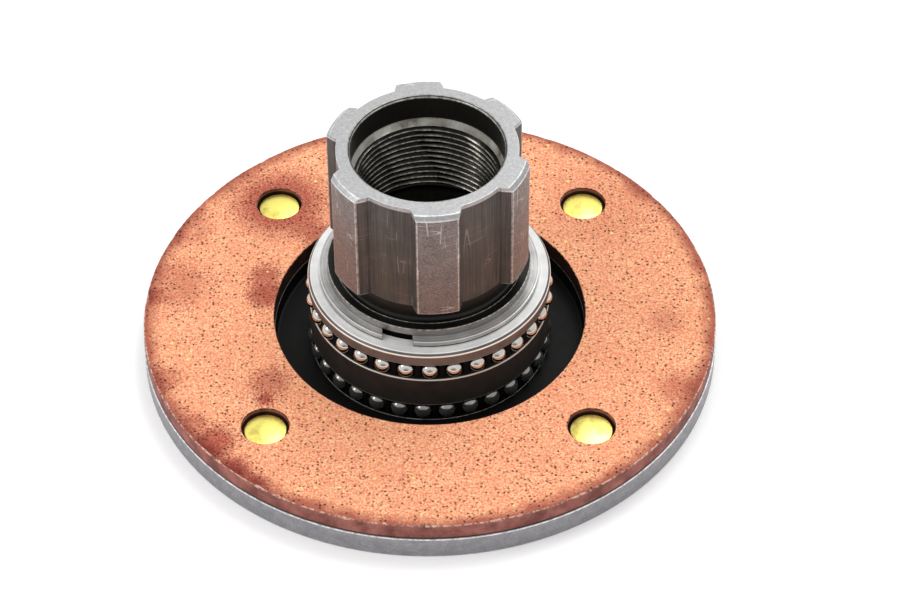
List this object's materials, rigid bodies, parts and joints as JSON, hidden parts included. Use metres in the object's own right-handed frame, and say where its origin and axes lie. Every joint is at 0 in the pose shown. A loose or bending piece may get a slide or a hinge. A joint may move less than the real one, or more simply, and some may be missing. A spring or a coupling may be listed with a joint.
{
  "type": "clutch hub",
  "caption": "Clutch hub: steel flange with a riveted friction lining, caged rows of balls on its journal and a keyed, threaded boss.",
  "frame": {"origin": "centre of the flange's back face, on the shaft axis", "axes": "+Z along the shaft axis, from the flange's back face towards the keyed boss; +X is 36 degrees clockwise of a key's middle, seen from the boss, and halfway between two rivets is on +X"},
  "size_m": [0.153, 0.153, 0.0698],
  "materials": {
    "hub_steel": "turned steel, worn and oily",
    "lining": "moulded friction material, matt, stained",
    "rivet_brass": "satin",
    "band_steel": "dark oiled steel",
    "cage_steel": "blackened",
    "ball_steel": "polished",
    "washer_steel": "ground",
    "ring_steel": "flat spring steel"
  },
  "bodies": {
    "hub": {"hub": "hub_steel", "friction_lining": "lining", "rivet_1": "rivet_brass", "rivet_2": "rivet_brass", "rivet_3": "rivet_brass", "rivet_4": "rivet_brass", "spacer_band": "band_steel", "retaining_washer": "washer_steel", "snap_ring": "ring_steel"},
    "lower_row": {"lower_cage": "cage_steel", "lower_balls": "ball_steel"},
    "upper_row": {"upper_cage": "cage_steel", "upper_balls": "ball_steel"}
  },
  "joints": [
    {"name": "lower_row_spin", "type": "hinge", "parent": "hub", "child": "lower_row", "pos_m": [0, 0, 0.00555], "axis": [0, 0, 1], "continuous": true},
    {"name": "upper_row_spin", "type": "hinge", "parent": "hub", "child": "upper_row", "pos_m": [0, 0, 0.02035], "axis": [0, 0, 1], "continuous": true}
  ]
}
